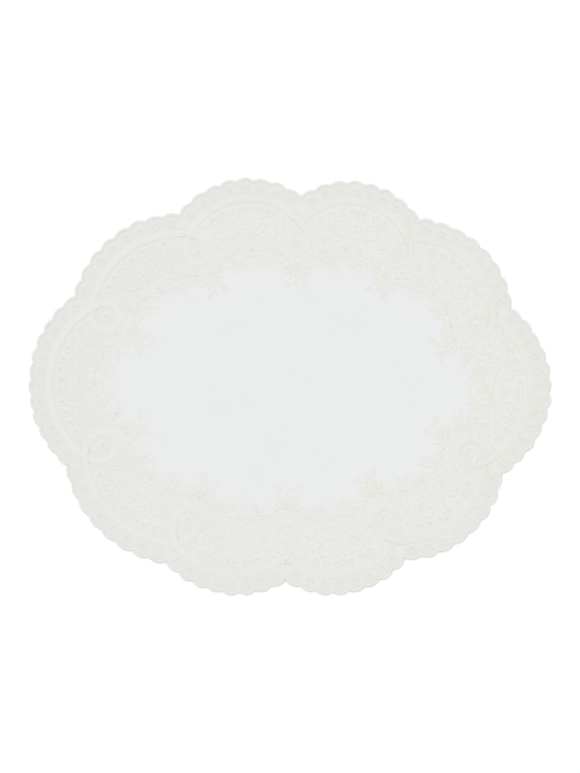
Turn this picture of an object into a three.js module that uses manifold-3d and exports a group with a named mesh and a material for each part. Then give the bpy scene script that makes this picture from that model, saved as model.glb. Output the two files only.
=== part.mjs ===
// An oval table mat of linen, embroidered white on white, lying flat on its back.
// Millimetres, +X along the mat, +Z up, the underside on z = 0 and the origin under the middle of its box.
// The outline has ten broad lobes, each edged with small scallops. Inside them runs a raised ribbon that
// crosses itself and loops at every notch, and inside the ribbon a garland of leaves.
import * as THREE from "three";
import { mergeVertices } from "three/addons/utils/BufferGeometryUtils.js";
import Module from "manifold-3d";

// One row for each lobe, anticlockwise. A lobe starts at its notch, which is given by its angle and its
// distance from the middle, and bulges by rise over the straight line to the next notch. The ribbon's loop
// lies loopDepth in from the notch.
const lobes = [
  { notchAngle: 19.5, notchRadius: 216, rise: 21.5, scallops: 8, loopDepth: 34, loopHalfWidth: 10.5 },
  { notchAngle: 52, notchRadius: 194, rise: 23, scallops: 8, loopDepth: 35.5, loopHalfWidth: 9.5 },
  { notchAngle: 86.5, notchRadius: 174, rise: 23.5, scallops: 8, loopDepth: 39.5, loopHalfWidth: 9 },
  { notchAngle: 122.5, notchRadius: 187, rise: 21, scallops: 8, loopDepth: 37, loopHalfWidth: 10.5 },
  { notchAngle: 157, notchRadius: 213, rise: 37.5, scallops: 12, loopDepth: 33, loopHalfWidth: 12.5 },
  { notchAngle: 199.5, notchRadius: 216, rise: 21, scallops: 8, loopDepth: 36, loopHalfWidth: 12.5 },
  { notchAngle: 235, notchRadius: 196, rise: 19.5, scallops: 8, loopDepth: 42, loopHalfWidth: 11 },
  { notchAngle: 269, notchRadius: 177, rise: 21, scallops: 8, loopDepth: 42, loopHalfWidth: 9.5 },
  { notchAngle: 304, notchRadius: 190, rise: 22, scallops: 8, loopDepth: 40, loopHalfWidth: 11 },
  { notchAngle: 338, notchRadius: 211, rise: 39.5, scallops: 12, loopDepth: 33, loopHalfWidth: 12.5 },
];

// Heights over the table
const clothTop = 1.0;
const rimTop = 1.6;
const eyeletTop = 1.6;
const eyeletDip = 1.15;
const ribbonTop = 1.9;
const ribbonStep = 0.15;
const leafTop = 1.65;
const stemTop = 1.4;
const bed = 0.6; // raised stitching starts inside the cloth

// Edge
const scallopRise = 2.8;
const scallopSteps = 4;
const rimWidth = 3;
const eyeletInset = 7.6;
const eyeletRadius = 4;
const eyeletCrestRadius = 2.9;
const eyeletSides = 6;

// Ribbon
const ribbonInset = 16;
const ribbonWidth = 7.4;
const ribbonCrestWidth = 5;
const ribbonStepLength = 7;
const ribbonArcPoints = 9;
const loopLap = 3;

// Garland
const sprayGap = 13;
const swagShare = 0.8;
const swagTrim = 11;
const stemWidth = 1.6;
const stemStepLength = 9;
const leafLength = 11;
const leafWidth = 5.5;
const leafSides = 4;
const leafSpacing = 9.5;
const leafLean = THREE.MathUtils.degToRad(38);
const leafGap = 0.6;
const sprayLeaves = 5;
const sprayFan = THREE.MathUtils.degToRad(132);
const sprayRadius = 9.5;

const mergeTolerance = 1e-4;

const wasm = await Module();
wasm.setup();

// Plane geometry helpers, all on z = 0

function polar(angle, radius) {
  return new THREE.Vector3(Math.cos(angle) * radius, Math.sin(angle) * radius, 0);
}

// A quarter turn anticlockwise
function turnLeft(direction) {
  return new THREE.Vector3(-direction.y, direction.x, 0);
}

function notchPoint(index) {
  const lobe = lobes[(index + lobes.length) % lobes.length];
  return polar(THREE.MathUtils.degToRad(lobe.notchAngle), lobe.notchRadius);
}

// The circle that a lobe follows from its notch to the next one
function lobeArc(index) {
  const lobe = lobes[(index + lobes.length) % lobes.length];
  const from = notchPoint(index);
  const to = notchPoint(index + 1);
  const chord = to.clone().sub(from);
  const outward = turnLeft(chord).negate().normalize();
  const radius = chord.lengthSq() / (8 * lobe.rise) + lobe.rise / 2;
  const centre = from.clone().add(to).multiplyScalar(0.5).addScaledVector(outward, lobe.rise - radius);
  const startAngle = Math.atan2(from.y - centre.y, from.x - centre.x);
  const sweep = 2 * Math.asin(chord.length() / (2 * radius));
  return { centre, radius, startAngle, sweep, scallops: lobe.scallops };
}

const arcs = lobes.map((lobe, index) => lobeArc(index));

function arcPoint(arc, share, inset) {
  return polar(arc.startAngle + arc.sweep * share, arc.radius - inset).add(arc.centre);
}

// Where the ribbons of two neighbouring lobes cross, near their notch
function ribbonCrossing(index) {
  const before = arcs[(index + arcs.length - 1) % arcs.length];
  const after = arcs[index];
  const between = after.centre.clone().sub(before.centre);
  const span = between.length();
  const radiusBefore = before.radius - ribbonInset;
  const radiusAfter = after.radius - ribbonInset;
  const along = (span ** 2 + radiusBefore ** 2 - radiusAfter ** 2) / (2 * span);
  const across = Math.sqrt(radiusBefore ** 2 - along ** 2);
  const unit = between.normalize();
  return before.centre.clone().addScaledVector(unit, along).addScaledVector(turnLeft(unit), -across);
}

// A notch, its way into the mat, and the side on which its own lobe starts
function notchFrame(index) {
  const wrapped = (index + lobes.length) % lobes.length;
  const origin = notchPoint(wrapped);
  const inward = new THREE.Vector3();
  for (const arc of [arcs[wrapped], arcs[(wrapped + arcs.length - 1) % arcs.length]]) {
    inward.add(arc.centre.clone().sub(origin).normalize());
  }
  inward.normalize();
  const side = turnLeft(inward).negate();
  return { origin, inward, side, crossing: ribbonCrossing(wrapped), lobe: lobes[wrapped] };
}

const notches = lobes.map((lobe, index) => notchFrame(index));

function atNotch(notch, depth, sideways) {
  return notch.origin.clone().addScaledVector(notch.inward, depth).addScaledVector(notch.side, sideways);
}

// Solids

function toSolid(geometry) {
  geometry.deleteAttribute("normal");
  geometry.deleteAttribute("uv");
  const merged = mergeVertices(geometry, mergeTolerance);
  return new wasm.Manifold(new wasm.Mesh({
    numProp: 3,
    vertProperties: new Float32Array(merged.attributes.position.array),
    triVerts: new Uint32Array(merged.index.array),
  }));
}

function toGeometry(solid) {
  const mesh = solid.getMesh();
  const geometry = new THREE.BufferGeometry();
  geometry.setAttribute("position", new THREE.BufferAttribute(new Float32Array(mesh.vertProperties), 3));
  geometry.setIndex(new THREE.BufferAttribute(new Uint32Array(mesh.triVerts), 1));
  geometry.computeVertexNormals();
  return geometry;
}

// The outline, with each small scallop a shallow arc between two cusps
function outlinePoints() {
  const points = [];
  for (const arc of arcs) {
    const steps = arc.scallops * scallopSteps;
    const halfChord = (arc.radius * arc.sweep) / arc.scallops / 2;
    const bow = (halfChord ** 2 + scallopRise ** 2) / (2 * scallopRise);
    for (let step = 0; step < steps; step += 1) {
      const place = ((step % scallopSteps) / scallopSteps) * 2 - 1;
      const height = Math.sqrt(bow ** 2 - (place * halfChord) ** 2) - (bow - scallopRise);
      points.push(arcPoint(arc, step / steps, -height));
    }
  }
  return points;
}

// Each point of a closed outline moved in by a distance, along the bisector of its two sides
function insetPoints(points, distance) {
  return points.map((point, index) => {
    const before = points[(index + points.length - 1) % points.length];
    const after = points[(index + 1) % points.length];
    const inFromBefore = turnLeft(point.clone().sub(before).normalize());
    const inFromAfter = turnLeft(after.clone().sub(point).normalize());
    return point.clone().addScaledVector(inFromBefore.add(inFromAfter).normalize(), distance);
  });
}

// A closed solid from rings of equal length, the first one facing down and the last one facing up
function ringStack(rings) {
  const count = rings[0].length;
  const positions = rings.flatMap((ring) => ring.flatMap((point) => [point.x, point.y, point.z]));
  const faces = [];
  for (let level = 0; level + 1 < rings.length; level += 1) {
    for (let step = 0; step < count; step += 1) {
      const low = level * count + step;
      const lowNext = level * count + ((step + 1) % count);
      faces.push(low, lowNext, lowNext + count, low, lowNext + count, low + count);
    }
  }
  for (const [a, b, c] of THREE.ShapeUtils.triangulateShape(rings[0], [])) faces.push(a, c, b);
  const top = (rings.length - 1) * count;
  for (const [a, b, c] of THREE.ShapeUtils.triangulateShape(rings.at(-1), [])) {
    faces.push(top + a, top + b, top + c);
  }
  const geometry = new THREE.BufferGeometry();
  geometry.setAttribute("position", new THREE.Float32BufferAttribute(positions, 3));
  geometry.setIndex(faces);
  return geometry;
}

function atHeight(points, height) {
  return points.map((point) => new THREE.Vector3(point.x, point.y, height));
}

// The cloth, flat below, with a raised buttonhole rim along its edge
function cloth() {
  const outline = outlinePoints();
  const rimFoot = insetPoints(outline, rimWidth);
  return toSolid(ringStack([atHeight(outline, 0), atHeight(outline, rimTop), atHeight(rimFoot, clothTop)]));
}

// A small worked ring with a dip in its middle, one for each scallop
function eyelet(centre) {
  const slope = (eyeletRadius - eyeletCrestRadius) / (eyeletTop - clothTop);
  const bedRadius = eyeletRadius + slope * (clothTop - bed);
  const profile = [
    new THREE.Vector2(0, bed),
    new THREE.Vector2(bedRadius, bed),
    new THREE.Vector2(eyeletCrestRadius, eyeletTop),
    new THREE.Vector2(0, eyeletDip),
  ];
  const geometry = new THREE.LatheGeometry(profile, eyeletSides);
  geometry.rotateX(Math.PI / 2);
  geometry.translate(centre.x, centre.y, 0);
  return toSolid(geometry);
}

function eyelets() {
  return arcs.flatMap((arc) => Array.from({ length: arc.scallops }, (unused, index) => (
    eyelet(arcPoint(arc, (index + 0.5) / arc.scallops, eyeletInset))
  )));
}

// A low band with sloping sides along a flat path
function raisedBand(points, footWidth, crestWidth, top, stepLength) {
  const path = new THREE.CatmullRomCurve3(atHeight(points, bed), false, "centripetal");
  const slope = (footWidth - crestWidth) / 2 / (top - clothTop);
  const halfBed = footWidth / 2 + slope * (clothTop - bed);
  const rise = top - bed;
  const section = new THREE.Shape([
    new THREE.Vector2(0, -halfBed),
    new THREE.Vector2(0, halfBed),
    new THREE.Vector2(-rise, crestWidth / 2),
    new THREE.Vector2(-rise, -crestWidth / 2),
  ]);
  const steps = Math.round(path.getLength() / stepLength);
  return toSolid(new THREE.ExtrudeGeometry(section, { steps, extrudePath: path, bevelEnabled: false }));
}

// Half of a loop, from the crossing down one side to just past the bottom
function halfLoop(notch, hand) {
  const { loopDepth, loopHalfWidth } = notch.lobe;
  const crossingDepth = notch.crossing.clone().sub(notch.origin).dot(notch.inward);
  const shoulderDepth = THREE.MathUtils.lerp(crossingDepth, loopDepth, 0.5);
  return [
    atNotch(notch, shoulderDepth, hand * loopHalfWidth * 0.78),
    atNotch(notch, loopDepth, hand * loopHalfWidth),
    atNotch(notch, loopDepth + loopHalfWidth * 0.75, hand * loopHalfWidth * 0.7),
    atNotch(notch, loopDepth + loopHalfWidth, 0),
    atNotch(notch, loopDepth + loopHalfWidth * 0.97, -hand * loopLap),
  ];
}

// The ribbon of one lobe, from the bottom of the loop before it to the bottom of the loop after it
function lobeRibbon(index) {
  const first = notches[index];
  const last = notches[(index + 1) % notches.length];
  const arc = arcs[index];
  const along = Array.from({ length: ribbonArcPoints }, (unused, step) => (
    arcPoint(arc, (step + 0.5) / ribbonArcPoints, ribbonInset)
  ));
  const path = [
    ...halfLoop(first, -1).reverse(),
    first.crossing,
    ...along,
    last.crossing,
    ...halfLoop(last, 1),
  ];
  const top = ribbonTop - (index % 2) * ribbonStep;
  return raisedBand(path, ribbonWidth, ribbonCrestWidth, top, ribbonStepLength);
}

// A leaf with its foot at a point
function leaf(foot, heading, length = leafLength) {
  const growth = (leafTop - bed) / (leafTop - clothTop);
  const geometry = new THREE.ConeGeometry(1, leafTop - bed, leafSides);
  geometry.rotateX(Math.PI / 2);
  geometry.scale((growth * leafWidth) / 2, (growth * length) / 2, 1);
  geometry.rotateZ(heading - Math.PI / 2);
  const middle = foot.clone().add(polar(heading, length / 2));
  geometry.translate(middle.x, middle.y, (leafTop + bed) / 2);
  return toSolid(geometry);
}

function headingOf(direction) {
  return Math.atan2(direction.y, direction.x);
}

function sprayCentre(notch) {
  return atNotch(notch, notch.lobe.loopDepth + notch.lobe.loopHalfWidth + sprayGap, 0);
}

// A fan of leaves under each loop, pointing into the mat
function spray(notch) {
  return Array.from({ length: sprayLeaves }, (unused, index) => {
    const heading = headingOf(notch.inward) + sprayFan * (index / (sprayLeaves - 1) - 0.5);
    return leaf(sprayCentre(notch).add(polar(heading, sprayRadius - leafLength / 2)), heading);
  });
}

// A stem bowed towards its lobe, with leaves to both sides
function swag(index) {
  const from = sprayCentre(notches[index]);
  const to = sprayCentre(notches[(index + 1) % notches.length]);
  const chord = to.clone().sub(from);
  const outward = turnLeft(chord).negate().normalize();
  const bow = 2 * swagShare * lobes[index].rise;
  const control = from.clone().add(to).multiplyScalar(0.5).addScaledVector(outward, bow);
  const curve = new THREE.QuadraticBezierCurve3(from, control, to);
  const length = curve.getLength();
  const place = (distance) => curve.getPointAt(distance / length);
  const stemPoints = Math.round((length - 2 * swagTrim) / stemStepLength);
  const stem = Array.from({ length: stemPoints + 1 }, (unused, step) => (
    place(swagTrim + ((length - 2 * swagTrim) * step) / stemPoints)
  ));
  const leafCount = Math.floor((length - 2 * swagTrim) / leafSpacing);
  const leaves = Array.from({ length: leafCount }, (unused, step) => {
    const distance = swagTrim + (length - 2 * swagTrim) * ((step + 0.5) / leafCount);
    const side = step % 2 === 0 ? 1 : -1;
    const tangent = curve.getTangentAt(distance / length);
    const foot = place(distance).addScaledVector(turnLeft(tangent), side * (stemWidth / 2 + leafGap));
    return leaf(foot, headingOf(tangent) + side * leafLean);
  });
  return [raisedBand(stem, stemWidth, stemWidth * 0.5, stemTop, stemStepLength), ...leaves];
}

// The whole mat is one piece of cloth with its stitching raised in it
function placemat() {
  const raised = [
    ...eyelets(),
    ...arcs.map((arc, index) => lobeRibbon(index)),
    ...notches.flatMap(spray),
    ...lobes.flatMap((lobe, index) => swag(index)),
  ];
  const solid = raised.reduce((whole, part) => whole.add(part), cloth());
  const linen = new THREE.MeshStandardMaterial({ color: "#ebebe8", roughness: 0.9, metalness: 0 });
  const geometry = toGeometry(solid);
  const middle = new THREE.Box3().setFromPoints(outlinePoints()).getCenter(new THREE.Vector3());
  geometry.translate(-middle.x, -middle.y, 0);
  const mesh = new THREE.Mesh(geometry, linen);
  mesh.name = "placemat";
  return mesh;
}

const model = new THREE.Group();
model.add(placemat());

export default model;
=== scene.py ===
# An oval linen placemat, embroidered white on white, laid out flat under soft light and seen from above.
# Sizes are in millimetres in the mat's own plan, and become metres in the frame when a piece is made.
# A height is over the cloth's surface, so every piece follows the cloth's slight waves.
import math
import random
from collections import namedtuple

import bpy
import numpy as np
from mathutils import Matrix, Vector
from mathutils.geometry import delaunay_2d_cdt
from mathutils.kdtree import KDTree


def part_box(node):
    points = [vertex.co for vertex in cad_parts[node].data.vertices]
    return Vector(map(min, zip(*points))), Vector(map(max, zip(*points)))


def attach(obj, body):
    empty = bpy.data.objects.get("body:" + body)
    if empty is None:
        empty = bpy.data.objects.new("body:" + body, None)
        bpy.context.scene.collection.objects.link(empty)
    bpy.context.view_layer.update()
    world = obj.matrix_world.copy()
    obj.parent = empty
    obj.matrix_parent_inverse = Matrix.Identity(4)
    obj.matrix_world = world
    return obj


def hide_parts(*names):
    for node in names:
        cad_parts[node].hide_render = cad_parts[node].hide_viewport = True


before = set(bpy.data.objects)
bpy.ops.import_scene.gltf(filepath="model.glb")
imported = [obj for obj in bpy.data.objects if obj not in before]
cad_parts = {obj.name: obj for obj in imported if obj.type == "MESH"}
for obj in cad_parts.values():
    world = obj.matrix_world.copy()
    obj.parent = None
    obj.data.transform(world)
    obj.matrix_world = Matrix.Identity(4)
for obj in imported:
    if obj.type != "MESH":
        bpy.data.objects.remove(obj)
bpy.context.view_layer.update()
mat_low, mat_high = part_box("placemat")
mat_length = mat_high.x - mat_low.x

# The photograph's frame, with the mat square on and in the middle
photo_height = 773
mat_length_in_photo = 522
lens = 85
sensor = 36

# One row for each lobe, anticlockwise, as in the solid: its notch, its bulge over the line to the next
# notch, its small scallops, and the loop of ribbon that lies in from the notch
Lobe = namedtuple("Lobe", "notch_angle notch_radius rise scallops loop_depth loop_half_width")
LOBES = [
    Lobe(19.5, 216, 21.5, 8, 34, 10.5),
    Lobe(52, 194, 23, 8, 35.5, 9.5),
    Lobe(86.5, 174, 23.5, 8, 39.5, 9),
    Lobe(122.5, 187, 21, 8, 37, 10.5),
    Lobe(157, 213, 37.5, 12, 33, 12.5),
    Lobe(199.5, 216, 21, 8, 36, 12.5),
    Lobe(235, 196, 19.5, 8, 42, 11),
    Lobe(269, 177, 21, 8, 42, 9.5),
    Lobe(304, 190, 22, 8, 40, 11),
    Lobe(338, 211, 39.5, 12, 33, 12.5),
]
END_LOBES = (4, 9)
BOTTOM_NOTCH = 7

# Cloth
cloth_thickness = 0.9
cloth_inset = 0.5
lowest_point = 0.02
border_spacing = 1.4
centre_spacing = 3.2
underside_spacing = 6
underside_margin = 4
edge_lift = 0.3
edge_reach = 22
plain_length = 304
plain_width = 196
border_start = 1.01
border_growth = 0.2
centre_share = 0.02
field_depth = 30
recess_depth = 0.05
recess_width = 2.4
recess_offset = 0.8
# Share of painted shade in the recess beside the ribbon's inner side
recess_shade = 0.3
hole_depth = 0.1

# Waves of the laid cloth: direction in degrees, length, height and start of each
Wave = namedtuple("Wave", "direction length height start")
WAVES = [
    Wave(12, 118, 0.14, 0.4),
    Wave(71, 84, 0.10, 2.1),
    Wave(128, 63, 0.07, 4.4),
    Wave(160, 142, 0.12, 1.2),
    Wave(95, 47, 0.04, 3.3),
]

# How the lift of the edge comes and goes: share of it, count round the mat and start of each part
Flutter = namedtuple("Flutter", "share count start")
FLUTTERS = [Flutter(0.3, 7, 1), Flutter(0.2, 17, 2.3)]

# Soft folds and creases of the cloth: middle, direction in degrees, length, half width and height
Fold = namedtuple("Fold", "x y direction length half_width height")
FOLDS = [
    Fold(-7, 4, 90, 180, 5, 0.09),
    Fold(4, 12, 1, 230, 5, 0.08),
    Fold(-104, -48, 87, 60, 6, 0.24),
    Fold(-151, 9, 84, 44, 8, 0.2),
    Fold(156, -9, 95, 48, 7, 0.2),
    Fold(110, -57, 92, 62, 7, 0.24),
    Fold(-57, -86, 38, 38, 8, 0.24),
    Fold(-14, 64, 89, 40, 4, 0.12),
]

# Edge
rise_seed = 3
eyelet_seed = 5
scallop_rise = 2.8
scallop_rises = (0.78, 1.14)
scallop_steps = 16
rim_width = 2.9
rim_height = 0.5
rim_stitch = 0.8
rim_waver = 0.1
pad_height = 0.32
pad_edge = rim_width * 0.8
pad_overlap = 1.3
pad_sink = 0.25
pad_foot_share = 0.6
pad_side_squareness = 30
pad_end_squareness = 9
pad_rib_pitch = 2.5
pad_rib_depth = 0.9
pad_groove = 0.03
pad_columns = 43
pad_rows = 11
eyelet_inset = 7.4
eyelet_radius = 3.6
eyelet_radii = (0.92, 1.05)
eyelet_slip = 0.02
eyelet_drift = 0.3
eyelet_opening = 0.8
eyelet_slope = 0.35
eyelet_fall = 0.02

# Ribbon
ribbon_inset = 16
ribbon_width = 7.4
ribbon_height = 0.44
ribbon_stitch = 0.8
ribbon_block = 2.8
ribbon_waver = 0.06
block_depth = 0.22
ribbon_crossing_lift = 0.42
ribbon_arc_points = 9
bottom_crossing_shift = 3
curve_steps = 10

# Garland, on the same lines as in the solid
stitch_seed = 11
spray_gap = 13
spray_radius = 9.5
spray_leaves = 7
spray_fan = math.radians(170)
spray_flower = 3.6
spray_sprig_length = 8
spray_sprig_leaf = 5.8
spray_berry_height = 0.45
heart_share = 0.3
petal_share = 0.82
swag_share = 0.8
swag_trim = 8
path_step = 0.5
leaf_length = 11
leaf_width = 5
leaf_height = 0.25
leaf_rows = 13
leaf_split = 0.24
leaf_sink = 0.1
leaf_spacing = 6.4
leaf_lean = math.radians(38)
leaf_gap = 0.3
stem_width = 1.3
stem_height = 0.23
stem_taper = 3
sprig_length = 12.5
sprig_leaf = 6.4
sprig_leaf_share = 0.42
tendril_width = 1
tendril_length = 15

# Field of each lobe
ring_inset = 26
ring_spacing = 10.2
ring_height = 0.33
ring_radius = 4.8
ring_rib = 0.08
ring_shrink = 1.7
ring_start = 15
ring_foot_share = 1.03
hole_share = 0.42
hole_fall = 0.2
scroll_inset = 49
scroll_start = 5
scroll_turn = 6.4
scroll_leaves = 4
scroll_leaf = (7, 3)
scroll_width = 2.4
scroll_height = 0.33
berry_inset = 43
berry_radius = 1.5
berry_height = 0.42
palmette_inset = 45
palmette_leaf = (9.5, 3.4)
palmette_fan = 0.55
field_flower_inset = 27.5
field_flower = 5.4
strewn_width = 1.2
strewn_height = 0.28
open_eyelet_radius = 2.3
open_eyelet_shade = 4
cell_size = 0.5
clearance = 0.9
foot_sink = 0.15
ring_sink = 0.12

# What the two long lobes at the ends hold, and the others: rings in a row, length of a scroll, reach of
# the berries, and the garland's flower, its petals and the places of its sprigs
Field = namedtuple("Field", "rings scroll_length berry_reach flower petals sprigs")
END_FIELD = Field(5, 52, 36, 8.5, 7, (0.14, 0.31, 0.69, 0.86))
SIDE_FIELD = Field(3, 44, 31, 7, 6, (0.26, 0.74))
FIELDS = [END_FIELD if index in END_LOBES else SIDE_FIELD for index in range(len(LOBES))]

# Curls strewn over the ground, and then grains between them
Strewn = namedtuple("Strewn", "spacing length turn")
STREWN = [Strewn(3.8, 8.5, 4.6), Strewn(3.1, 2, 0.5)]

# Sections, by share of the half width, and share of the height or millimetres under the cloth
RIM_SECTION = [
    (-0.4, -0.85), (-0.96, -0.6), (-1, -0.2), (-0.92, 0.4), (-0.55, 0.85),
    (-0.1, 1), (0.45, 0.75), (0.85, 0.3), (1, -0.1), (0.6, -0.5),
]
RIBBON_SIDE = [
    (1, -0.2), (0.99, 0.08), (0.94, 0.42), (0.86, 0.74), (0.75, 0.6), (0.6, 0.74), (0.32, 0.93),
]
RING_RISE = [(1.01, 0.1), (0.95, 0.55), (0.84, 0.93), (0.71, 1), (0.58, 0.72), (0.47, 0.2)]
BERRY_RISE = [(0.92, 0.4), (0.7, 0.8), (0.4, 0.97), (0.1, 1)]
LEAF_COLUMNS = np.array([-1, -0.74, -0.4, 0, 0.4, 0.74, 1])

# Places of the small eyelets that stand open in the border, their middles shown by painted shade
OPEN_EYELETS = [(-67.5, 100.3), (145, -121.6), (-159, -24.5)]

# Looks: linear colours, and shares by which a tone moves
middle_colour = (0.781, 0.789, 0.792)
ground_colours = ((0.784, 0.788, 0.773), (0.781, 0.78, 0.762))
# The ground under the edge's pads is a little greyer, partly its own colour and partly painted shade of
# the mat's shaded outer edge
edging_colour = (0.775, 0.777, 0.746)
floor_colour = (0.965, 0.965, 0.965, 1)
yarn_pitch = 0.52
pinhole_pitch = 2.3
slub_tone = 0.035
cloud_tone = 0.045
# Painted shade: in the recess beside the ribbon and the middles of worked rings, and in each pinhole
painted_shade_tone = 0.03
pinhole_painted_shade = 0.045
left_reach = 240
left_border_tone = 0.026
left_thread_tone = 0.006
strand_tone = 0.1
stitch_tone = 0.06
# Painted shade in the grooves between the ribs of a pad, and how it fades across the work
groove_start = 1.1
groove_reach = 16

# Stage, with lengths in metres
floor_size = 12
floor_gap = 0.00005
world_light = 0.93
sun_light = 0.6
sun_softness = math.radians(40)
sun_height = math.radians(52)
sun_heading = math.radians(115)


# Plan geometry

def unit(vector):
    return vector / np.linalg.norm(vector)


def polar(angle, radius):
    return np.array([math.cos(angle), math.sin(angle)]) * radius


def headings(angles):
    return np.column_stack([np.cos(angles), np.sin(angles)])


def turn_left(vectors):
    """One vector, or one in each row, a quarter turn to the left."""
    return np.stack([-vectors[..., 1], vectors[..., 0]], axis=-1)


def heading_of(vector):
    return math.atan2(vector[1], vector[0])


def path_heading(path, place, ahead=1):
    """The heading from one place of a path to the next, or to the one before it where ahead is -1."""
    return heading_of(path[place + ahead][:2] - path[place][:2])


def notch_point(index):
    lobe = LOBES[index % len(LOBES)]
    return polar(math.radians(lobe.notch_angle), lobe.notch_radius)


Arc = namedtuple("Arc", "centre radius start sweep scallops")


def lobe_arc(index):
    lobe = LOBES[index]
    first = notch_point(index)
    last = notch_point(index + 1)
    chord = last - first
    outward = -turn_left(unit(chord))
    span = np.linalg.norm(chord)
    radius = span**2 / (8 * lobe.rise) + lobe.rise / 2
    centre = (first + last) / 2 + outward * (lobe.rise - radius)
    sweep = 2 * math.asin(span / (2 * radius))
    return Arc(centre, radius, heading_of(first - centre), sweep, lobe.scallops)


ARCS = [lobe_arc(index) for index in range(len(LOBES))]


def arc_point(arc, share, inset):
    return arc.centre + polar(arc.start + arc.sweep * share, arc.radius - inset)


Spot = namedtuple("Spot", "place outward")


def lobe_spot(index, sideways, inset):
    """A place in a lobe, sideways from its middle, with the heading outward."""
    arc = ARCS[index]
    angle = arc.start + arc.sweep / 2 + sideways / (arc.radius - inset)
    return Spot(arc.centre + polar(angle, arc.radius - inset), angle)


def ribbon_crossing(index):
    before = ARCS[index - 1]
    after = ARCS[index]
    between = after.centre - before.centre
    span = np.linalg.norm(between)
    radius_before = before.radius - ribbon_inset
    radius_after = after.radius - ribbon_inset
    along = (span**2 + radius_before**2 - radius_after**2) / (2 * span)
    across = math.sqrt(radius_before**2 - along**2)
    if index == BOTTOM_NOTCH:
        across -= bottom_crossing_shift
    return before.centre + unit(between) * along - turn_left(unit(between)) * across


class Notch:
    """A notch, its way into the mat, and the side on which its own lobe starts."""

    def __init__(self, index):
        self.lobe = LOBES[index]
        self.origin = notch_point(index)
        self.inward = unit(sum(unit(arc.centre - self.origin) for arc in (ARCS[index], ARCS[index - 1])))
        self.side = -turn_left(self.inward)
        self.crossing = ribbon_crossing(index)
        self.spray_centre = self.at(self.lobe.loop_depth + self.lobe.loop_half_width + spray_gap, 0)

    def at(self, depth, sideways):
        return self.origin + self.inward * depth + self.side * sideways


NOTCHES = [Notch(index) for index in range(len(LOBES))]


def scallop_height(arc, place):
    """Height of a small scallop over its lobe's arc, place running from -1 to 1 between two cusps."""
    half_chord = arc.radius * arc.sweep / arc.scallops / 2
    bow = (half_chord**2 + scallop_rise**2) / (2 * scallop_rise)
    return np.sqrt(bow**2 - (place * half_chord) ** 2) - (bow - scallop_rise)


def uneven_rises(luck):
    """How far each small scallop stands out against the others, lobe by lobe, as in handwork."""
    return [[luck.uniform(*scallop_rises) for number in range(arc.scallops)] for arc in ARCS]


RISES = uneven_rises(random.Random(rise_seed))


def outline(steps):
    points = []
    for arc, rises in zip(ARCS, RISES):
        count = arc.scallops * steps
        for step in range(count):
            place = 2 * (step % steps) / steps - 1
            height = scallop_height(arc, place) * rises[step // steps]
            points.append(arc_point(arc, step / count, -height))
    return np.array(points)


def left_normals(points, closed):
    """The left-hand normal at each point of a path, in plan."""
    plan = points[:, :2]
    if closed:
        along = np.roll(plan, -1, axis=0) - np.roll(plan, 1, axis=0)
    else:
        along = np.gradient(plan, axis=0)
    return turn_left(along / np.linalg.norm(along, axis=1)[:, None])


def inset(points, distance):
    """A closed anticlockwise outline moved in by a distance."""
    return points + left_normals(points, closed=True) * distance


def distances_along(curve):
    return np.concatenate([[0], np.cumsum(np.linalg.norm(np.diff(curve, axis=0), axis=1))])


def even_steps(curve, spacing, closed=False):
    """Points at equal distances along a fine curve, in an even count where it is closed."""
    travel = distances_along(curve)
    count = max(4, round(travel[-1] / spacing))
    count += -(count % 2) if closed else 1
    wanted = np.linspace(0, travel[-1], count, endpoint=not closed)
    return np.stack([np.interp(wanted, travel, values) for values in curve.T], axis=1)


def on_line(t, low, high, first, last):
    """The place at t on the line that is at first where t is low, and at last where t is high."""
    return (high - t) / (high - low) * first + (t - low) / (high - low) * last


def smooth_loop(points, spacing):
    """Evenly spaced points along the closed centripetal Catmull-Rom curve through the given ones."""
    ends = np.concatenate([points[-1:], points, points[:2]])
    curve = []
    for p0, p1, p2, p3 in zip(ends, ends[1:], ends[2:], ends[3:]):
        t1 = math.sqrt(np.linalg.norm(p1 - p0))
        t2 = t1 + math.sqrt(np.linalg.norm(p2 - p1))
        t3 = t2 + math.sqrt(np.linalg.norm(p3 - p2))
        for t in np.linspace(t1, t2, curve_steps, endpoint=False):
            a1 = on_line(t, 0, t1, p0, p1)
            a2 = on_line(t, t1, t2, p1, p2)
            a3 = on_line(t, t2, t3, p2, p3)
            b1 = on_line(t, 0, t2, a1, a2)
            b2 = on_line(t, t1, t3, a2, a3)
            curve.append(on_line(t, t1, t2, b1, b2))
    curve.append(curve[0])
    return even_steps(np.array(curve), spacing, closed=True)


def curl(start, heading, length, turn, tightening=1.8):
    """A path on the cloth that starts out straight and winds up, ever tighter."""
    steps = max(4, round(length / path_step))
    share = (np.arange(steps) + 0.5) / steps
    angle = heading + turn * share**tightening
    strides = headings(angle) * length / steps
    plan = np.concatenate([[start], start + np.cumsum(strides, axis=0)])
    return np.column_stack([plan, np.zeros(len(plan))])


def near_tree(points):
    """A tree that finds the nearest of some plan points."""
    tree = KDTree(len(points))
    for number, place in enumerate(points):
        tree.insert((place[0], place[1], 0), number)
    tree.balance()
    return tree


class Route:
    """Finds how far a point lies to the left of a closed path."""

    def __init__(self, path):
        self.left = left_normals(path, closed=True)
        self.tree = near_tree(path)

    def offset(self, x, y):
        found, number, distance = self.tree.find((x, y, 0))
        left = self.left[number]
        toward = (x - found[0]) * left[0] + (y - found[1]) * left[1]
        return distance if toward > 0 else -distance


# Cloth surface

EDGE = outline(scallop_steps)
EDGE_ANGLES = np.arctan2(EDGE[:, 1], EDGE[:, 0])
EDGE_RADII = np.linalg.norm(EDGE, axis=1)
plan_middle = (EDGE.min(axis=0) + EDGE.max(axis=0)) / 2
metres = mat_length / (EDGE[:, 0].max() - EDGE[:, 0].min())


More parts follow.
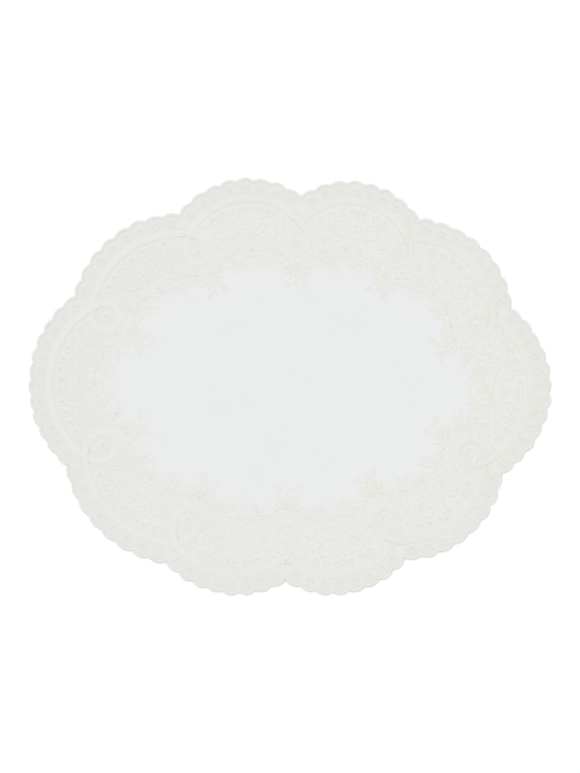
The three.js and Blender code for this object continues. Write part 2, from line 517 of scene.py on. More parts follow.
def edge_distance(plan):
    """Rough distance in from the edge, measured towards the middle."""
    angle = np.arctan2(plan[:, 1], plan[:, 0])
    return np.interp(angle, EDGE_ANGLES, EDGE_RADII, period=2 * math.pi) - np.linalg.norm(plan, axis=1)


def inside_ribbon(plan):
    """Which points lie within the ribbon's line round the lobes."""
    within = edge_distance(plan) > field_depth
    for arc in ARCS:
        within |= np.linalg.norm(plan - arc.centre, axis=1) < arc.radius - ribbon_inset
    return within


def cloth_height(plan):
    """Height of the cloth's upper face over the table."""
    height = np.full(len(plan), float(cloth_thickness))
    for wave in WAVES:
        along = plan @ polar(math.radians(wave.direction), 1)
        height += wave.height * (1 + np.sin(2 * math.pi * along / wave.length + wave.start)) / 2
    for fold in FOLDS:
        line = polar(math.radians(fold.direction), 1)
        along = (plan - (fold.x, fold.y)) @ line / (fold.length / 2)
        across = (plan - (fold.x, fold.y)) @ turn_left(line) / fold.half_width
        height += fold.height * np.exp(-(along**4) - across**2)
    nearness = np.clip(1 - edge_distance(plan) / edge_reach, 0, 1) ** 2
    angle = np.arctan2(plan[:, 1], plan[:, 0])
    flutter = np.full(len(plan), 0.5)
    for part in FLUTTERS:
        flutter += part.share * np.sin(part.count * angle + part.start)
    return height + edge_lift * nearness * flutter


def to_frame(points):
    """Plan and height over the cloth, to metres in the frame."""
    plan = points[:, :2]
    height = np.maximum(cloth_height(plan) + points[:, 2], lowest_point)
    return np.column_stack([(plan - plan_middle) * metres, height * metres])


# Stitching

class Stitching:
    """Vertices, faces and stitch coordinates of one joined piece."""

    def __init__(self):
        self.points = []
        self.coordinates = []
        self.faces = []
        self.count = 0

    def add(self, plan, height, along, across, faces):
        """Adds a grid of points, with places along and across the work for the look of its stitches."""
        self.points.append(np.concatenate([plan, height[..., None]], axis=2).reshape(-1, 3))
        self.coordinates.append(np.stack(np.broadcast_arrays(along, across), axis=2).reshape(-1, 2))
        self.faces.extend(tuple(self.count + corner for corner in face) for face in faces)
        self.count += len(self.points[-1])

    def plan(self):
        return np.concatenate(self.points)[:, :2]

    def piece(self, name, material):
        mesh = bpy.data.meshes.new(name)
        mesh.from_pydata(to_frame(np.concatenate(self.points)).tolist(), [], self.faces)
        corners = np.empty(len(mesh.loops), np.int32)
        mesh.loops.foreach_get("vertex_index", corners)
        stitches = mesh.uv_layers.new(name="Stitch")
        stitches.data.foreach_set("uv", np.concatenate(self.coordinates)[corners].ravel())
        return finished(name, mesh, material)


def finished(name, mesh, material):
    mesh.polygons.foreach_set("use_smooth", [True] * len(mesh.polygons))
    mesh.materials.append(material)
    mesh.update()
    made = bpy.data.objects.new(name, mesh)
    bpy.context.scene.collection.objects.link(made)
    return made


def ribs(count, depth):
    """Every other step a little lower, so that each pair of steps is a stitch."""
    return 1 - depth * (np.arange(count) % 2)


def tube_faces(steps, width, closed=False):
    """Faces of a closed section carried along a path, with a face at each end where the path is open."""
    faces = []
    for step in range(steps if closed else steps - 1):
        row = step * width
        after = (step + 1) % steps * width
        for column in range(width):
            beside = (column + 1) % width
            faces.append((row + column, after + column, after + beside, row + beside))
    if not closed:
        faces.append(tuple(range(width)))
        faces.append(tuple(range(steps * width - 1, (steps - 1) * width - 1, -1)))
    return faces


def add_band(work, path, section, closed=False, taper=0, rib=0.08, block=0, waver=0):
    """Sweeps a section of offsets to the left and heights along a path of plan points with a lift. taper
    is the share of the length that narrows to a point at each end, block the length of each padded part
    between two shallow grooves, and waver the share by which the width comes and goes."""
    steps = len(path)
    section = np.array(section, float)
    normals = left_normals(path, closed)
    travel = distances_along(path[:, :2])
    size = np.ones(steps)
    if waver:
        size += waver * (np.sin(travel / 17) + np.sin(travel / 7.3 + 1)) / 2
    if taper:
        share = travel / travel[-1]
        size = np.clip(np.minimum(share, 1 - share) / taper, 0.05, 1) ** 0.6
    stitch = ribs(steps, rib)
    if block:
        stitch = stitch * (1 - block_depth * np.cos(math.pi * travel / block) ** 8)
    across, up = section.T
    offsets = across * (size * (1 + stitch) / 2)[:, None]
    plan = path[:, None, :2] + normals[:, None] * offsets[..., None]
    height = np.where(up > 0, up * (size * stitch)[:, None], up) + path[:, 2:]
    stitch_travel = np.abs(travel - travel[-1] / 2) if closed else travel
    faces = tube_faces(steps, len(section), closed)
    work.add(plan, height, stitch_travel[:, None], across, faces)


def scaled_section(section, width, height):
    """A section given in shares, in millimetres."""
    return [(across * width / 2, up * height if up > 0 else up) for across, up in section]


def crown(width, height, count=7):
    """A low round section with its feet sunk into the cloth."""
    across = np.linspace(-1, 1, count)
    up = np.cos(across * math.pi / 2) ** 0.8
    up[[0, -1]] = 0.04
    return scaled_section([(-1, -foot_sink), *zip(across, up), (1, -foot_sink)], width, height)


def add_lathe(work, centre, profile, stitches, ring):
    """Profile rows of radius and height turned about a centre, ribbed by their stitches. A ring's profile
    closes on itself, and any other is closed by a flat bottom and a small top."""
    profile = np.array(profile, float)
    sides = stitches * 2
    turn = np.arange(sides) / sides * 2 * math.pi
    plan = centre + profile[:, None, :1] * headings(turn)
    up = profile[:, 1:]
    height = np.where(up > 0, up * ribs(sides, ring_rib), up)
    around = np.abs(turn - math.pi) * profile[:, 0].max()
    # Turned over, because the profile runs inward
    faces = [face[:1] + face[:0:-1] for face in tube_faces(len(profile), sides, closed=ring)]
    work.add(plan, height, around, profile[:, :1], faces)


Hole = namedtuple("Hole", "centre radius shade")
HOLES = []


def add_ring(work, centre, radius, stitches, lift=0.0, shade=1):
    """A worked ring with a sunken middle, where the cloth is drawn down and darkened by painted shade."""
    HOLES.append(Hole(centre, radius * hole_share, shade))
    crest = [(radius * share, lift + ring_height * up) for share, up in RING_RISE]
    profile = [(radius * ring_foot_share, -ring_sink), *crest, (radius * hole_share, -hole_fall)]
    add_lathe(work, centre, profile, stitches, ring=True)


def add_berry(work, centre, height):
    """A small padded satin dot."""
    crest = [(berry_radius * share, height * up) for share, up in BERRY_RISE]
    add_lathe(work, centre, [(berry_radius, -ring_sink), *crest], 8, ring=False)


def add_leaf(work, foot, heading, length, width, bend=0.0, fullness=0.85):
    """A padded satin leaf from its foot to its tip, with a split down the middle. bend turns its tip to
    the left, and its widest place is nearer the foot where its fullness is under 1."""
    along = np.linspace(0, 1, leaf_rows)
    half = width / 2 * np.sin(math.pi * np.clip(along, 0.02, 0.985) ** fullness) ** 0.8
    angle = heading + bend * (along - 0.3)
    forward = headings(angle)
    strides = forward[:-1] * length / (leaf_rows - 1)
    spine = foot + np.concatenate([[[0, 0]], np.cumsum(strides, axis=0)])
    across = turn_left(forward)[:, None] * (half[:, None] * LEAF_COLUMNS)[..., None]
    slant = forward[:, None] * (0.3 * half[:, None] * (np.abs(LEAF_COLUMNS) - 0.5))[..., None]
    arch = np.sqrt(1 - LEAF_COLUMNS**2 * 0.96) - leaf_split * (LEAF_COLUMNS == 0)
    swell = np.sqrt(half / half.max()) * ribs(leaf_rows, 0.1)
    height = leaf_height * swell[:, None] * arch
    height[:, [0, -1]] = -leaf_sink
    faces = tube_faces(leaf_rows, len(LEAF_COLUMNS))
    plan = spine[:, None] + across + slant
    work.add(plan, height, along[:, None] * length, LEAF_COLUMNS * width / 2, faces)


def add_side_leaf(works, path, place, side, stem, length, width, lean=leaf_lean, bend=0.4, ahead=1):
    """A leaf that leans out from one side of a stem and bends back along it."""
    along = path_heading(path, place, ahead)
    foot = path[place][:2] + polar(along + side * math.pi / 2, stem / 2 + leaf_gap)
    add_leaf(works["leaves"], foot, along + side * lean, length, width, bend=-side * bend)


def add_stem(works, path, width=stem_width):
    taper = min(0.3, stem_taper / (len(path) * path_step))
    add_band(works["stems"], path, crown(width, stem_height, count=5), taper=taper)


def add_sprig(works, start, heading, length, turn, leaves, size):
    """A curving stem with leaves to the left and right in turn, and one at its tip."""
    path = curl(start, heading, length, turn)
    add_stem(works, path, tendril_width)
    for step in range(leaves):
        place = round((len(path) - 2) * (step + 0.7) / (leaves + 0.4))
        side = (1, -1)[step % 2]
        add_side_leaf(works, path, place, side, stem_width, size, size * sprig_leaf_share)
    add_leaf(works["leaves"], path[-1][:2], path_heading(path, -2), size, size * sprig_leaf_share)


def add_flower(works, centre, radius, petals, turn):
    """Satin petals round a small worked ring."""
    heart = radius * heart_share
    width = 2 * radius * math.sin(math.pi / petals) * petal_share
    for petal in range(petals):
        heading = turn + 2 * math.pi * petal / petals
        foot = centre + polar(heading, heart * 1.1)
        add_leaf(works["petals"], foot, heading, radius - heart, width, fullness=1.25)
    add_ring(works["rings"], centre, heart, 9)


def add_scroll(works, start, heading, length, turn):
    """A padded cord that winds up into a scroll, with small leaves on its outer side."""
    path = curl(start, heading, length, turn, tightening=1.7)
    add_band(works["scrolls"], path, crown(scroll_width, scroll_height), taper=0.12)
    outer = -1 if turn > 0 else 1
    for step in range(scroll_leaves):
        place = round(len(path) * (0.14 + 0.14 * step))
        add_side_leaf(works, path, place, outer, scroll_width, *scroll_leaf, lean=0.8, bend=0.5)


# Ribbon route

def half_loop(notch, hand):
    """Points down one side of a loop, from the shoulder to above its bottom."""
    depth = notch.lobe.loop_depth
    half = notch.lobe.loop_half_width
    crossing_depth = (notch.crossing - notch.origin) @ notch.inward
    return [
        notch.at((crossing_depth + depth) / 2, hand * half * 0.78),
        notch.at(depth, hand * half),
        notch.at(depth + half * 0.75, hand * half * 0.7),
    ]


def ribbon_route():
    """The ribbon's closed path and its lift. It passes over itself as it leaves each loop."""
    route = []
    for index, arc in enumerate(ARCS):
        first = NOTCHES[index]
        last = NOTCHES[(index + 1) % len(NOTCHES)]
        flat = [first.at(first.lobe.loop_depth + first.lobe.loop_half_width, 0)]
        flat += half_loop(first, -1)[::-1]
        route += [(*point, 0) for point in flat]
        route.append((*first.crossing, ribbon_crossing_lift))
        for step in range(ribbon_arc_points):
            route.append((*arc_point(arc, (step + 0.5) / ribbon_arc_points, ribbon_inset), 0))
        route.append((*last.crossing, 0))
        route += [(*point, 0) for point in half_loop(last, 1)]
    return np.array(route)


RIBBON = smooth_loop(ribbon_route(), ribbon_stitch / 2)
RIBBON_ROUTE = Route(RIBBON)


# Edge pieces

def uneven_eyelets(luck):
    """The place and radius of the ring in each small scallop, lobe by lobe, uneven as in handwork."""
    rows = []
    for arc in ARCS:
        row = []
        for number in range(arc.scallops):
            share = (number + 0.5 + luck.uniform(-eyelet_slip, eyelet_slip)) / arc.scallops
            centre = arc_point(arc, share, eyelet_inset + luck.uniform(-eyelet_drift, eyelet_drift))
            row.append((centre, eyelet_radius * luck.uniform(*eyelet_radii)))
        rows.append(row)
    return rows


EYELETS = uneven_eyelets(random.Random(eyelet_seed))


def edge_rim(works):
    """Buttonhole stitches round the whole edge, each a short rib across it."""
    line = inset(EDGE, rim_width / 2)
    line = np.column_stack([line, np.zeros(len(line))])
    path = even_steps(np.concatenate([line, line[:1]]), rim_stitch / 2, closed=True)
    section = scaled_section(RIM_SECTION, rim_width, rim_height)
    add_band(works["edge_rim"], path, section, closed=True, rib=0.1, waver=rim_waver)


def edge_eyelets(works):
    """A worked ring inside each small scallop."""
    for row in EYELETS:
        for centre, radius in row:
            add_ring(works["edge_eyelets"], centre, radius, 17, pad_height * 0.4)


def scallop_pads(works):
    """Ribbed pads that fill each small scallop from the rim to the ribbon, open in its ring."""
    across = np.linspace(-1, 1, pad_columns)
    out = np.linspace(0, 1, pad_rows)[:, None]
    sides = np.clip(1 - np.abs(across) ** pad_side_squareness, 0, 1)
    ends = np.clip(1 - np.abs(2 * out - 1) ** pad_end_squareness, 0, 1)
    ease = sides * ends
    fade = pad_foot_share + (1 - pad_foot_share) * out
    foot = ribbon_inset - ribbon_width / 2 + pad_overlap
    for arc, row, rises in zip(ARCS, EYELETS, RISES):
        for number, (centre, radius) in enumerate(row):
            crest = pad_edge - scallop_height(arc, across * (1 - pad_groove)) * rises[number]
            depth = foot + (crest - foot) * out
            share = (number + 0.5 + across * (1 - pad_groove) / 2) / arc.scallops
            angle = arc.start + arc.sweep * share
            plan = arc.centre + headings(angle) * (arc.radius - depth)[..., None]
            away = np.linalg.norm(plan - centre, axis=2) / radius
            opening = np.clip((eyelet_opening - away) / eyelet_slope, 0, 1)
            along = across * arc.radius * arc.sweep / arc.scallops / 2
            flute = 1 - pad_rib_depth * np.sin(math.pi * along / pad_rib_pitch) ** 2
            up = pad_height * fade * ease * flute - pad_sink * (1 - ease)
            height = up * (1 - opening) - eyelet_fall * opening
            works["scallop_pads"].add(plan, height, along, depth, tube_faces(pad_rows, pad_columns))


def ribbon(works):
    """The satin ribbon with a fine cord along each side."""
    right = [(-across, up) for across, up in RIBBON_SIDE]
    section = scaled_section([*right, (0, 1), *RIBBON_SIDE[::-1]], ribbon_width, ribbon_height)
    add_band(works["ribbon"], RIBBON, section, closed=True, block=ribbon_block, waver=ribbon_waver)


# Garland

def swag_curve(index):
    """Points of the stem between two sprays, bowed towards its lobe."""
    first = NOTCHES[index].spray_centre
    last = NOTCHES[(index + 1) % len(NOTCHES)].spray_centre
    outward = -turn_left(unit(last - first))
    control = (first + last) / 2 + outward * 2 * swag_share * LOBES[index].rise
    share = np.linspace(0, 1, 80)[:, None]
    curve = (1 - share) ** 2 * first + 2 * share * (1 - share) * control + share**2 * last
    return even_steps(np.column_stack([curve, np.zeros(len(curve))]), path_step)


SWAGS = [swag_curve(index) for index in range(len(LOBES))]


def garland_swag(works, index, luck):
    """A stem with leaves to both sides in turn, and a flower in its middle."""
    curve = SWAGS[index]
    field = FIELDS[index]
    middle = len(curve) // 2
    free = path_step * (len(curve) - 1) - 2 * swag_trim
    trim = round(swag_trim / path_step)
    gap = round(field.flower / path_step)
    add_stem(works, curve[trim:middle - gap])
    add_stem(works, curve[middle + gap:-trim])
    along = heading_of(curve[middle + 1][:2] - curve[middle - 1][:2])
    add_flower(works, curve[middle][:2], field.flower, field.petals, along)
    count = int(free / leaf_spacing)
    for step in range(count):
        place = round((swag_trim + free * (step + 0.5) / count) / path_step)
        if abs(place - middle) < gap + 2:
            continue
        hand = 1 if place < middle else -1
        side = (1, -1)[step % 2]
        size = leaf_length * luck.uniform(0.88, 1.08)
        add_side_leaf(works, curve, place, side, stem_width, size, leaf_width, bend=0.5, ahead=hand)


def garland_sprigs(works, index):
    """Sprigs from the stem towards the middle of the mat, and curled tendrils beside them."""
    curve = SWAGS[index]
    for share in FIELDS[index].sprigs:
        place = round(share * (len(curve) - 1))
        hand = 1 if share < 0.5 else -1
        inward = path_heading(curve, place) + math.pi / 2
        start = curve[place][:2] + polar(inward, stem_width / 2)
        add_sprig(works, start, inward - hand * 0.25, sprig_length, -hand * 0.7, 4, sprig_leaf)
        outer = curve[place - hand * 5][:2] - polar(inward, stem_width / 2)
        tendril = curl(outer, inward + math.pi + hand * 0.7, tendril_length, hand * 4.4)
        add_stem(works, tendril, tendril_width)


def sprays(works, luck):
    """A fan of leaves round a flower under each loop, with two small sprigs and two berries."""
    for notch in NOTCHES:
        inward = heading_of(notch.inward)
        for step in range(spray_leaves):
            heading = inward + spray_fan * (step / (spray_leaves - 1) - 0.5)
            foot = notch.spray_centre + polar(heading, spray_radius - leaf_length / 2)
            size = leaf_length * luck.uniform(0.95, 1.12)
            add_leaf(works["leaves"], foot, heading, size, leaf_width)
        add_flower(works, notch.spray_centre, spray_flower, 5, inward)
        for hand in (-1, 1):
            start = notch.spray_centre + polar(inward + hand * 0.2, spray_radius + 4)
            heading = inward + hand * 0.35
            add_sprig(works, start, heading, spray_sprig_length, hand * 0.9, 2, spray_sprig_leaf)
            berry = notch.spray_centre + polar(inward + hand * 1.75, 9)
            add_berry(works["berries"], berry, spray_berry_height)


# Field of each lobe

def ring_rows(works, index):
    """Rings that shrink along the inside of the ribbon, from each loop towards the middle of the lobe."""
    arc = ARCS[index]
    half_span = (arc.radius - ring_inset) * arc.sweep / 2
    count = FIELDS[index].rings
    for hand in (-1, 1):
        for step in range(count):
            spot = lobe_spot(index, hand * (half_span - ring_start - ring_spacing * step), ring_inset)
            add_ring(works["rings"], spot.place, ring_radius - ring_shrink * step / count, 16)


def lobe_scrolls(works, index):
    """Two scrolls that mirror each other, with a palmette between them and berries beyond them."""
    field = FIELDS[index]
    for hand in (-1, 1):
        foot = lobe_spot(index, hand * scroll_start, scroll_inset)
        heading = foot.outward + hand * math.pi / 2
        add_scroll(works, foot.place, heading, field.scroll_length, -hand * scroll_turn)
        cluster = lobe_spot(index, hand * field.berry_reach, berry_inset)
        for number in range(3):
            berry = cluster.place + polar(cluster.outward + 2 * math.pi * number / 3, 2.3)
            add_berry(works["berries"], berry, berry_height)
    palmette = lobe_spot(index, 0, palmette_inset)
    length, width = palmette_leaf
    for step in range(5):
        heading = palmette.outward + palmette_fan * (step - 2)
        foot = palmette.place + polar(heading, 1.5)
        add_leaf(works["leaves"], foot, heading, length - 1.3 * abs(step - 2), width)


def lobe_flower(works, index):
    """A flower inside the ribbon, in the middle of each lobe's row of rings."""
    spot = lobe_spot(index, 0, field_flower_inset)
    add_flower(works, spot.place, field_flower, 6, spot.outward)


def loop_rings(works):
    """A ring inside each loop of the ribbon, one in the neck of the bottom loop, and a few small ones."""
    for index, notch in enumerate(NOTCHES):
        free = notch.lobe.loop_half_width - ribbon_width / 2
        add_ring(works["rings"], notch.at(notch.lobe.loop_depth + 1, 0), free * 0.55, 14)
        if index == BOTTOM_NOTCH:
            # Its middle is darkened by painted shade, as an open eyelet
            add_ring(works["rings"], notch.at(13.5, 0), 3.4, 14, shade=open_eyelet_shade)
    # Their middles are darkened by painted shade, as open eyelets
    for place in OPEN_EYELETS:
        add_ring(works["rings"], place, open_eyelet_radius, 10, shade=open_eyelet_shade)


class Ground:
    """Keeps which cells of the mat's plan are taken by stitching."""

    def __init__(self, works):
        self.low = EDGE.min(axis=0)
        span = EDGE.max(axis=0) - self.low
        self.taken = np.zeros(np.ceil(span / cell_size).astype(int) + 1, bool)
        for work in works.values():
            if work.count:
                self.take(work.plan())

    def cells(self, plan):
        cells = ((plan - self.low) / cell_size).astype(int)
        return tuple(np.clip(cells, 0, np.array(self.taken.shape) - 1).T)

    def take(self, plan):
        for angle in np.linspace(0, 2 * math.pi, 12, endpoint=False):
            for reach in (0, clearance / 2, clearance):
                self.taken[self.cells(plan + polar(angle, reach))] = True

    def is_free(self, plan):
        return not self.taken[self.cells(plan)].any()


def ground_stitches(works, luck):
    """Little stitches wherever the ground is free, from the ribbon to the garland."""
    ground = Ground(works)
    garland = Route(np.concatenate(SWAGS))
    work = works["ground_stitches"]
    section = crown(strewn_width, strewn_height, count=5)
    for spacing, length, turn in STREWN:
        places = grid_points(spacing)
        for place in places[inside_ribbon(places)]:
            heading = luck.uniform(0, 2 * math.pi)
            path = curl(place, heading, length, luck.choice((-1, 1)) * turn, tightening=1)
            path[:, :2] += place - path[:, :2].mean(axis=0)
            if garland.offset(*place) < 0 and ground.is_free(path[:, :2]):
                add_band(work, path, section, taper=0.25, rib=0.06)
                ground.take(path[:, :2])


# Cloth piece

def border_share(plan):
    """0 in the plain middle of the mat, growing to 1 in the embroidered border."""
    spread = np.hypot(*(plan / (plain_length / 2, plain_width / 2)).T)
    return np.clip((spread - border_start) / border_growth, 0, 1)


def grid_points(spacing):
    """Points at the corners of equal triangles, over the whole box of the mat."""
    low = EDGE.min(axis=0)
    high = EDGE.max(axis=0)
    rows = []
    for number, y in enumerate(np.arange(low[1], high[1], spacing * math.sqrt(3) / 2)):
        x = np.arange(low[0] + (number % 2) * spacing / 2, high[0], spacing)
        rows.append(np.column_stack([x, np.full(len(x), y)]))
    return np.concatenate(rows)


def triangulate(border, inside):
    loop = [(step, (step + 1) % len(border)) for step in range(len(border))]
    points = [Vector(point) for point in np.concatenate([border, inside])]
    made = delaunay_2d_cdt(points, loop, [], 1, 1e-5)
    return np.array([tuple(point) for point in made[0]]), [tuple(face) for face in made[2]]


def hole_points():
    """Finer points where the cloth dips inside each worked ring."""
    around = np.concatenate([[[0, 0]], headings(np.arange(6) * math.pi / 3)])
    return np.concatenate([hole.centre + around * hole.radius * 0.6 for hole in HOLES])


def hole_shares(plan):
    """1 in the middle of a worked ring, falling to 0 at its inner side, and the same times its painted
    shade.
    """
    tree = near_tree([hole.centre for hole in HOLES])
    rows = []
    for x, y in plan:
        place, number, away = tree.find((x, y, 0))
        share = min(max(1.6 - away / HOLES[number].radius, 0), 1)
        rows.append((share, share * HOLES[number].shade))
    return np.array(rows).T


def linen_cloth(material):
    """The linen, one sheet with an upper face, an underside and a thin edge."""
    border = inset(EDGE, cloth_inset)
    fine = grid_points(border_spacing)
    fine = fine[(edge_distance(fine) > border_spacing) & (border_share(fine) > centre_share)]
    coarse = grid_points(centre_spacing)
    coarse = coarse[border_share(coarse) <= centre_share]
    lower = grid_points(underside_spacing)
    lower = lower[edge_distance(lower) > underside_margin]
    top, top_faces = triangulate(border, np.concatenate([fine, coarse, hole_points()]))
    under, under_faces = triangulate(border, lower)
    offset = np.array([RIBBON_ROUTE.offset(*point) for point in top])
    recess = np.exp(-(((offset - ribbon_width / 2 - recess_offset) / (recess_width / 2)) ** 2))
    hole, hole_shade = hole_shares(top)
    top_height = cloth_height(top) - recess_depth * recess - hole_depth * hole
    under_height = np.maximum(cloth_height(under) - cloth_thickness, 0)
    plan = (np.concatenate([top, under]) - plan_middle) * metres
    points = np.column_stack([plan, np.concatenate([top_height, under_height]) * metres])
    faces = top_faces + [tuple(len(top) + corner for corner in reversed(face)) for face in under_faces]
    for step in range(len(border)):
        after = (step + 1) % len(border)
        faces.append((len(top) + step, len(top) + after, after, step))
    mesh = bpy.data.meshes.new("linen_cloth")
    mesh.from_pydata(points.tolist(), [], faces)
    tones = {
        "border": border_share(top),
        "edging": 1.0 - inside_ribbon(top),
        # Painted shade of the recess beside the ribbon and of each worked ring's middle
        "shade": np.maximum(recess * recess_shade, hole_shade),
    }
    for name, values in tones.items():
        tone = mesh.attributes.new(name, "FLOAT", "POINT")
        tone.data.foreach_set("value", np.concatenate([values, np.zeros(len(under))]))
    return finished("linen_cloth", mesh, material)


# Materials

class Shading:
    """Builds the nodes of one material."""

    def __init__(self, name, roughness, sheen):
        self.material = bpy.data.materials.new(name)
        self.material.use_nodes = True
        self.tree = self.material.node_tree
        self.shader = self.tree.nodes["Principled BSDF"]
        self.shader.inputs["Specular IOR Level"].default_value = 0.3
        self.shader.inputs["Sheen Weight"].default_value = sheen
        self.shader.inputs["Roughness"].default_value = roughness

    def node(self, kind, inputs=(), **settings):
        made = self.tree.nodes.new(kind)
        for key, value in settings.items():
            setattr(made, key, value)
        for key, value in dict(inputs).items():
            self.feed(made.inputs[key], value)
        return made

    def feed(self, socket, value):
        if isinstance(value, bpy.types.NodeSocket):
            self.tree.links.new(value, socket)
        else:
            socket.default_value = value

    def math(self, operation, first, second=0.0):
        return self.node("ShaderNodeMath", {0: first, 1: second}, operation=operation).outputs[0]

    def times(self, first, second):
        return self.math("MULTIPLY", first, second)

    def plus(self, first, second):
        return self.math("ADD", first, second)

    def minus(self, first, second):
        return self.math("SUBTRACT", first, second)

    def scaled(self, vector, scale):
        return self.node("ShaderNodeMapping", {"Vector": vector, "Scale": scale}).outputs[0]

    def axes(self, vector):
        return self.node("ShaderNodeSeparateXYZ", {0: vector}).outputs

    def place(self):
        """A place on the mat, in millimetres."""
        return self.scaled(self.node("ShaderNodeTexCoord").outputs["Object"], (1000, 1000, 1000))

    def noise(self, vector, scale, detail=2.0):
        """Noise about 0, of some 0.2 either way. scale is cells to the millimetre along each axis."""
        inputs = {"Vector": self.scaled(vector, scale), "Scale": 1, "Detail": detail}
        return self.minus(self.node("ShaderNodeTexNoise", inputs).outputs[0], 0.5)

    def toward_left(self, place):
        """1 at the mat's left end, falling to 0 in its middle."""
        return self.math("MAXIMUM", self.times(self.axes(place)[0], -1 / left_reach), 0)

    def grid_waves(self, place, pitch):
        """Two sines that cross zero at every pitch, one along each axis of the cloth."""
        turns = self.axes(self.scaled(place, (math.pi / pitch,) * 3))
        return [self.math("SINE", turns[axis]) for axis in (0, 1)]

    def attribute(self, name):
        return self.node("ShaderNodeAttribute", attribute_name=name).outputs["Fac"]

    def blend(self, factor, first, second):
        made = self.node("ShaderNodeMix", {0: factor}, data_type="RGBA")
        for socket, value in ((6, first), (7, second)):
            self.feed(made.inputs[socket], (*value, 1) if isinstance(value, tuple) else value)
        return made.outputs[2]

    def tinted(self, colour, tone):
        """A colour made lighter or darker by a tone near 0."""
        inputs = {0: colour, "Scale": self.plus(tone, 1)}
        return self.node("ShaderNodeVectorMath", inputs, operation="SCALE").outputs[0]

    def bump(self, height, distance, strength, before=None):
        inputs = {"Height": height, "Distance": distance, "Strength": strength}
        if before:
            inputs["Normal"] = before
        return self.node("ShaderNodeBump", inputs).outputs[0]

    def finish(self, colour, normal):
        self.feed(self.shader.inputs["Base Color"], colour)
        self.feed(self.shader.inputs["Normal"], normal)
        return self.material


def linen_material():
    """Plain-weave linen with slubs: a cool white middle, and a warmer border with fine pinholes that is
    dullest at the mat's left end. Painted shade darkens the pinholes, the recess beside the ribbon and
    the middles of worked rings."""
    shade = Shading("linen", 0.88, 0.06)
    place = shade.place()
    warp, weft = shade.grid_waves(place, yarn_pitch)
    crossing = shade.times(warp, weft)
    over = shade.times(crossing, 0.25)
    yarns = shade.plus(shade.math("POWER", shade.math("ABSOLUTE", crossing), 0.6), over)
    slubs = shade.plus(shade.noise(place, (0.035, 1.7, 1)), shade.noise(place, (1.7, 0.03, 1)))
    clouds = shade.noise(place, (0.02, 0.026, 0.02), 3.0)
    border = shade.attribute("border")
    edging = shade.attribute("edging")
    first_row, second_row = shade.grid_waves(place, pinhole_pitch / 2)
    pinholes = shade.math("MAXIMUM", shade.times(first_row, second_row), 0)
    pinholes = shade.times(shade.math("POWER", pinholes, 5), shade.minus(border, edging))
    warmth = shade.plus(shade.times(shade.noise(place, (0.012, 0.012, 0.012)), 3), 0.4)
    ground = shade.blend(warmth, *ground_colours)
    colour = shade.blend(edging, shade.blend(border, middle_colour, ground), edging_colour)
    left = shade.times(shade.toward_left(place), border)
    tone = shade.plus(shade.times(slubs, slub_tone), shade.times(clouds, cloud_tone))
    # Painted shade: darker cloth in the recess beside the ribbon, in the middles of worked rings and in
    # each pinhole
    darker = ((shade.attribute("shade"), painted_shade_tone), (pinholes, pinhole_painted_shade), (left, left_border_tone))
    for where, amount in darker:
        tone = shade.minus(tone, shade.times(where, amount))
    normal = shade.bump(yarns, 0.00008, 0.5)
    normal = shade.bump(slubs, 0.0003, 0.5, normal)
    normal = shade.bump(shade.times(pinholes, -1), 0.00025, 0.5, normal)
    return shade.finish(shade.tinted(colour, tone), normal)


def thread_material(name, thread):
    """Ivory cotton floss: fine strands across the work, a soft sheen, painted shade in the grooves
    between the ribs of a pad, and a tone that drifts from place to place and deepens towards the mat's
    right end, where painted light makes it warmer."""
    shade = Shading(name, 0.58, 0.12)
    place = shade.place()
    stitch = shade.node("ShaderNodeUVMap", uv_map="Stitch").outputs[0]
    strands = shade.noise(stitch, (5.5, 0.5, 1), 3.0)
    stitches = shade.noise(stitch, (1.1, 0.12, 1), 1.0)
    drift = shade.times(shade.noise(place, (0.03, 0.03, 0.03)), 1.6)
    # The drift is the thread's own uneven tone; the rise along the mat is painted light, warmer towards
    # its right end
    drift_and_warm_light = shade.plus(shade.plus(drift, shade.times(shade.axes(place)[0], 0.0022)), 0.4)
    colour = shade.blend(drift_and_warm_light, thread.pale, thread.deep)
    along, depth = shade.axes(shade.scaled(stitch, (math.pi / pad_rib_pitch, 1, 1)))[:2]
    # Painted shade in the grooves between the ribs of a pad
    painted_groove_shade = shade.math("POWER", shade.math("ABSOLUTE", shade.math("SINE", along)), 3)
    fade = shade.minus(groove_start, shade.times(depth, 1 / groove_reach))
    painted_groove_shade = shade.times(painted_groove_shade, shade.math("MAXIMUM", fade, 0))
    tone = shade.plus(shade.times(strands, strand_tone), shade.times(stitches, stitch_tone))
    tone = shade.minus(tone, shade.times(shade.toward_left(place), left_thread_tone))
    tone = shade.minus(tone, shade.times(painted_groove_shade, thread.grooves))
    return shade.finish(shade.tinted(colour, tone), shade.bump(strands, 0.0003, 0.7))


# Stage

def add_floor():
    bpy.ops.mesh.primitive_plane_add(size=floor_size, location=(0, 0, -floor_gap))
    floor = bpy.context.object
    floor.name = "floor"
    shade = Shading("floor", 0.95, 0)
    shade.shader.inputs["Base Color"].default_value = floor_colour
    floor.data.materials.append(shade.material)


def add_light():
    world = bpy.data.worlds.new("studio")
    bpy.context.scene.world = world
    world.use_nodes = True
    sky = world.node_tree.nodes["Background"].inputs
    sky["Color"].default_value = (1, 1, 1, 1)
    sky["Strength"].default_value = world_light
    lamp = bpy.data.lights.new("key", "SUN")
    lamp.energy = sun_light
    lamp.angle = sun_softness
    key = bpy.data.objects.new("key", lamp)
    key.location = (*polar(sun_heading, math.cos(sun_height)), math.sin(sun_height))
    key.rotation_euler = (-key.location).to_track_quat("-Z", "Y").to_euler()
    bpy.context.scene.collection.objects.link(key)
    bpy.context.scene.view_settings.view_transform = "Standard"


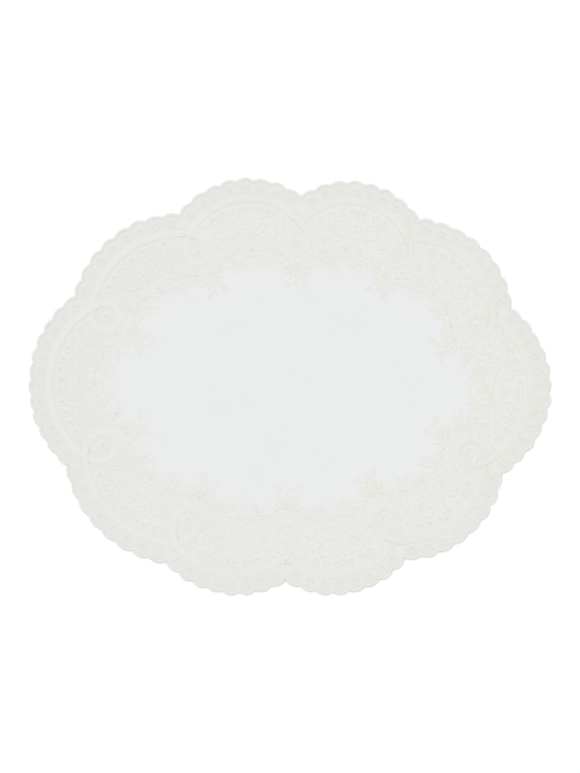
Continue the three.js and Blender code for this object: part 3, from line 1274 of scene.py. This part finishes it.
def add_camera():
    """Straight above the mat, from where it fills as much of the frame as in the photograph."""
    frame_height = mat_length * photo_height / mat_length_in_photo
    camera = bpy.data.cameras.new("camera")
    camera.lens = lens
    camera.sensor_width = sensor
    holder = bpy.data.objects.new("camera", camera)
    holder.location = (0, 0, frame_height * lens / sensor)
    bpy.context.scene.collection.objects.link(holder)
    bpy.context.scene.camera = holder


# Whole mat

# The pieces of stitching, each with its thread
PIECES = {
    "edge_rim": "edge_thread",
    "scallop_pads": "edge_thread",
    "edge_eyelets": "edge_thread",
    "ribbon": "ribbon_thread",
    "rings": "ribbon_thread",
    "scrolls": "ribbon_thread",
    "stems": "garland_thread",
    "leaves": "garland_thread",
    "petals": "garland_thread",
    "berries": "garland_thread",
    "ground_stitches": "ribbon_thread",
}

# Each thread's colour where it is palest and where it is deepest, and how much painted shade darkens its
# grooves
Thread = namedtuple("Thread", "pale deep grooves")
THREADS = {
    # The edge thread is a little greyer than the others, partly its own colour and partly painted shade
    # of the mat's shaded outer edge
    "edge_thread": Thread((0.776, 0.778, 0.747), (0.774, 0.776, 0.74), 0.042),
    "ribbon_thread": Thread((0.782, 0.782, 0.751), (0.777, 0.775, 0.726), 0.008),
    "garland_thread": Thread((0.784, 0.785, 0.751), (0.779, 0.779, 0.708), 0),
}


def work_all():
    luck = random.Random(stitch_seed)
    works = {name: Stitching() for name in PIECES}
    edge_rim(works)
    edge_eyelets(works)
    scallop_pads(works)
    ribbon(works)
    for index in range(len(LOBES)):
        garland_swag(works, index, luck)
        garland_sprigs(works, index)
        ring_rows(works, index)
        lobe_scrolls(works, index)
        lobe_flower(works, index)
    sprays(works, luck)
    loop_rings(works)
    ground_stitches(works, luck)
    return works


def main():
    add_camera()
    add_light()
    add_floor()
    threads = {name: thread_material(name, thread) for name, thread in THREADS.items()}
    for name, work in work_all().items():
        piece = work.piece(name, threads[PIECES[name]])
        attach(piece, "root")
    cloth = linen_cloth(linen_material())
    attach(cloth, "root")
    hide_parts("placemat")


main()
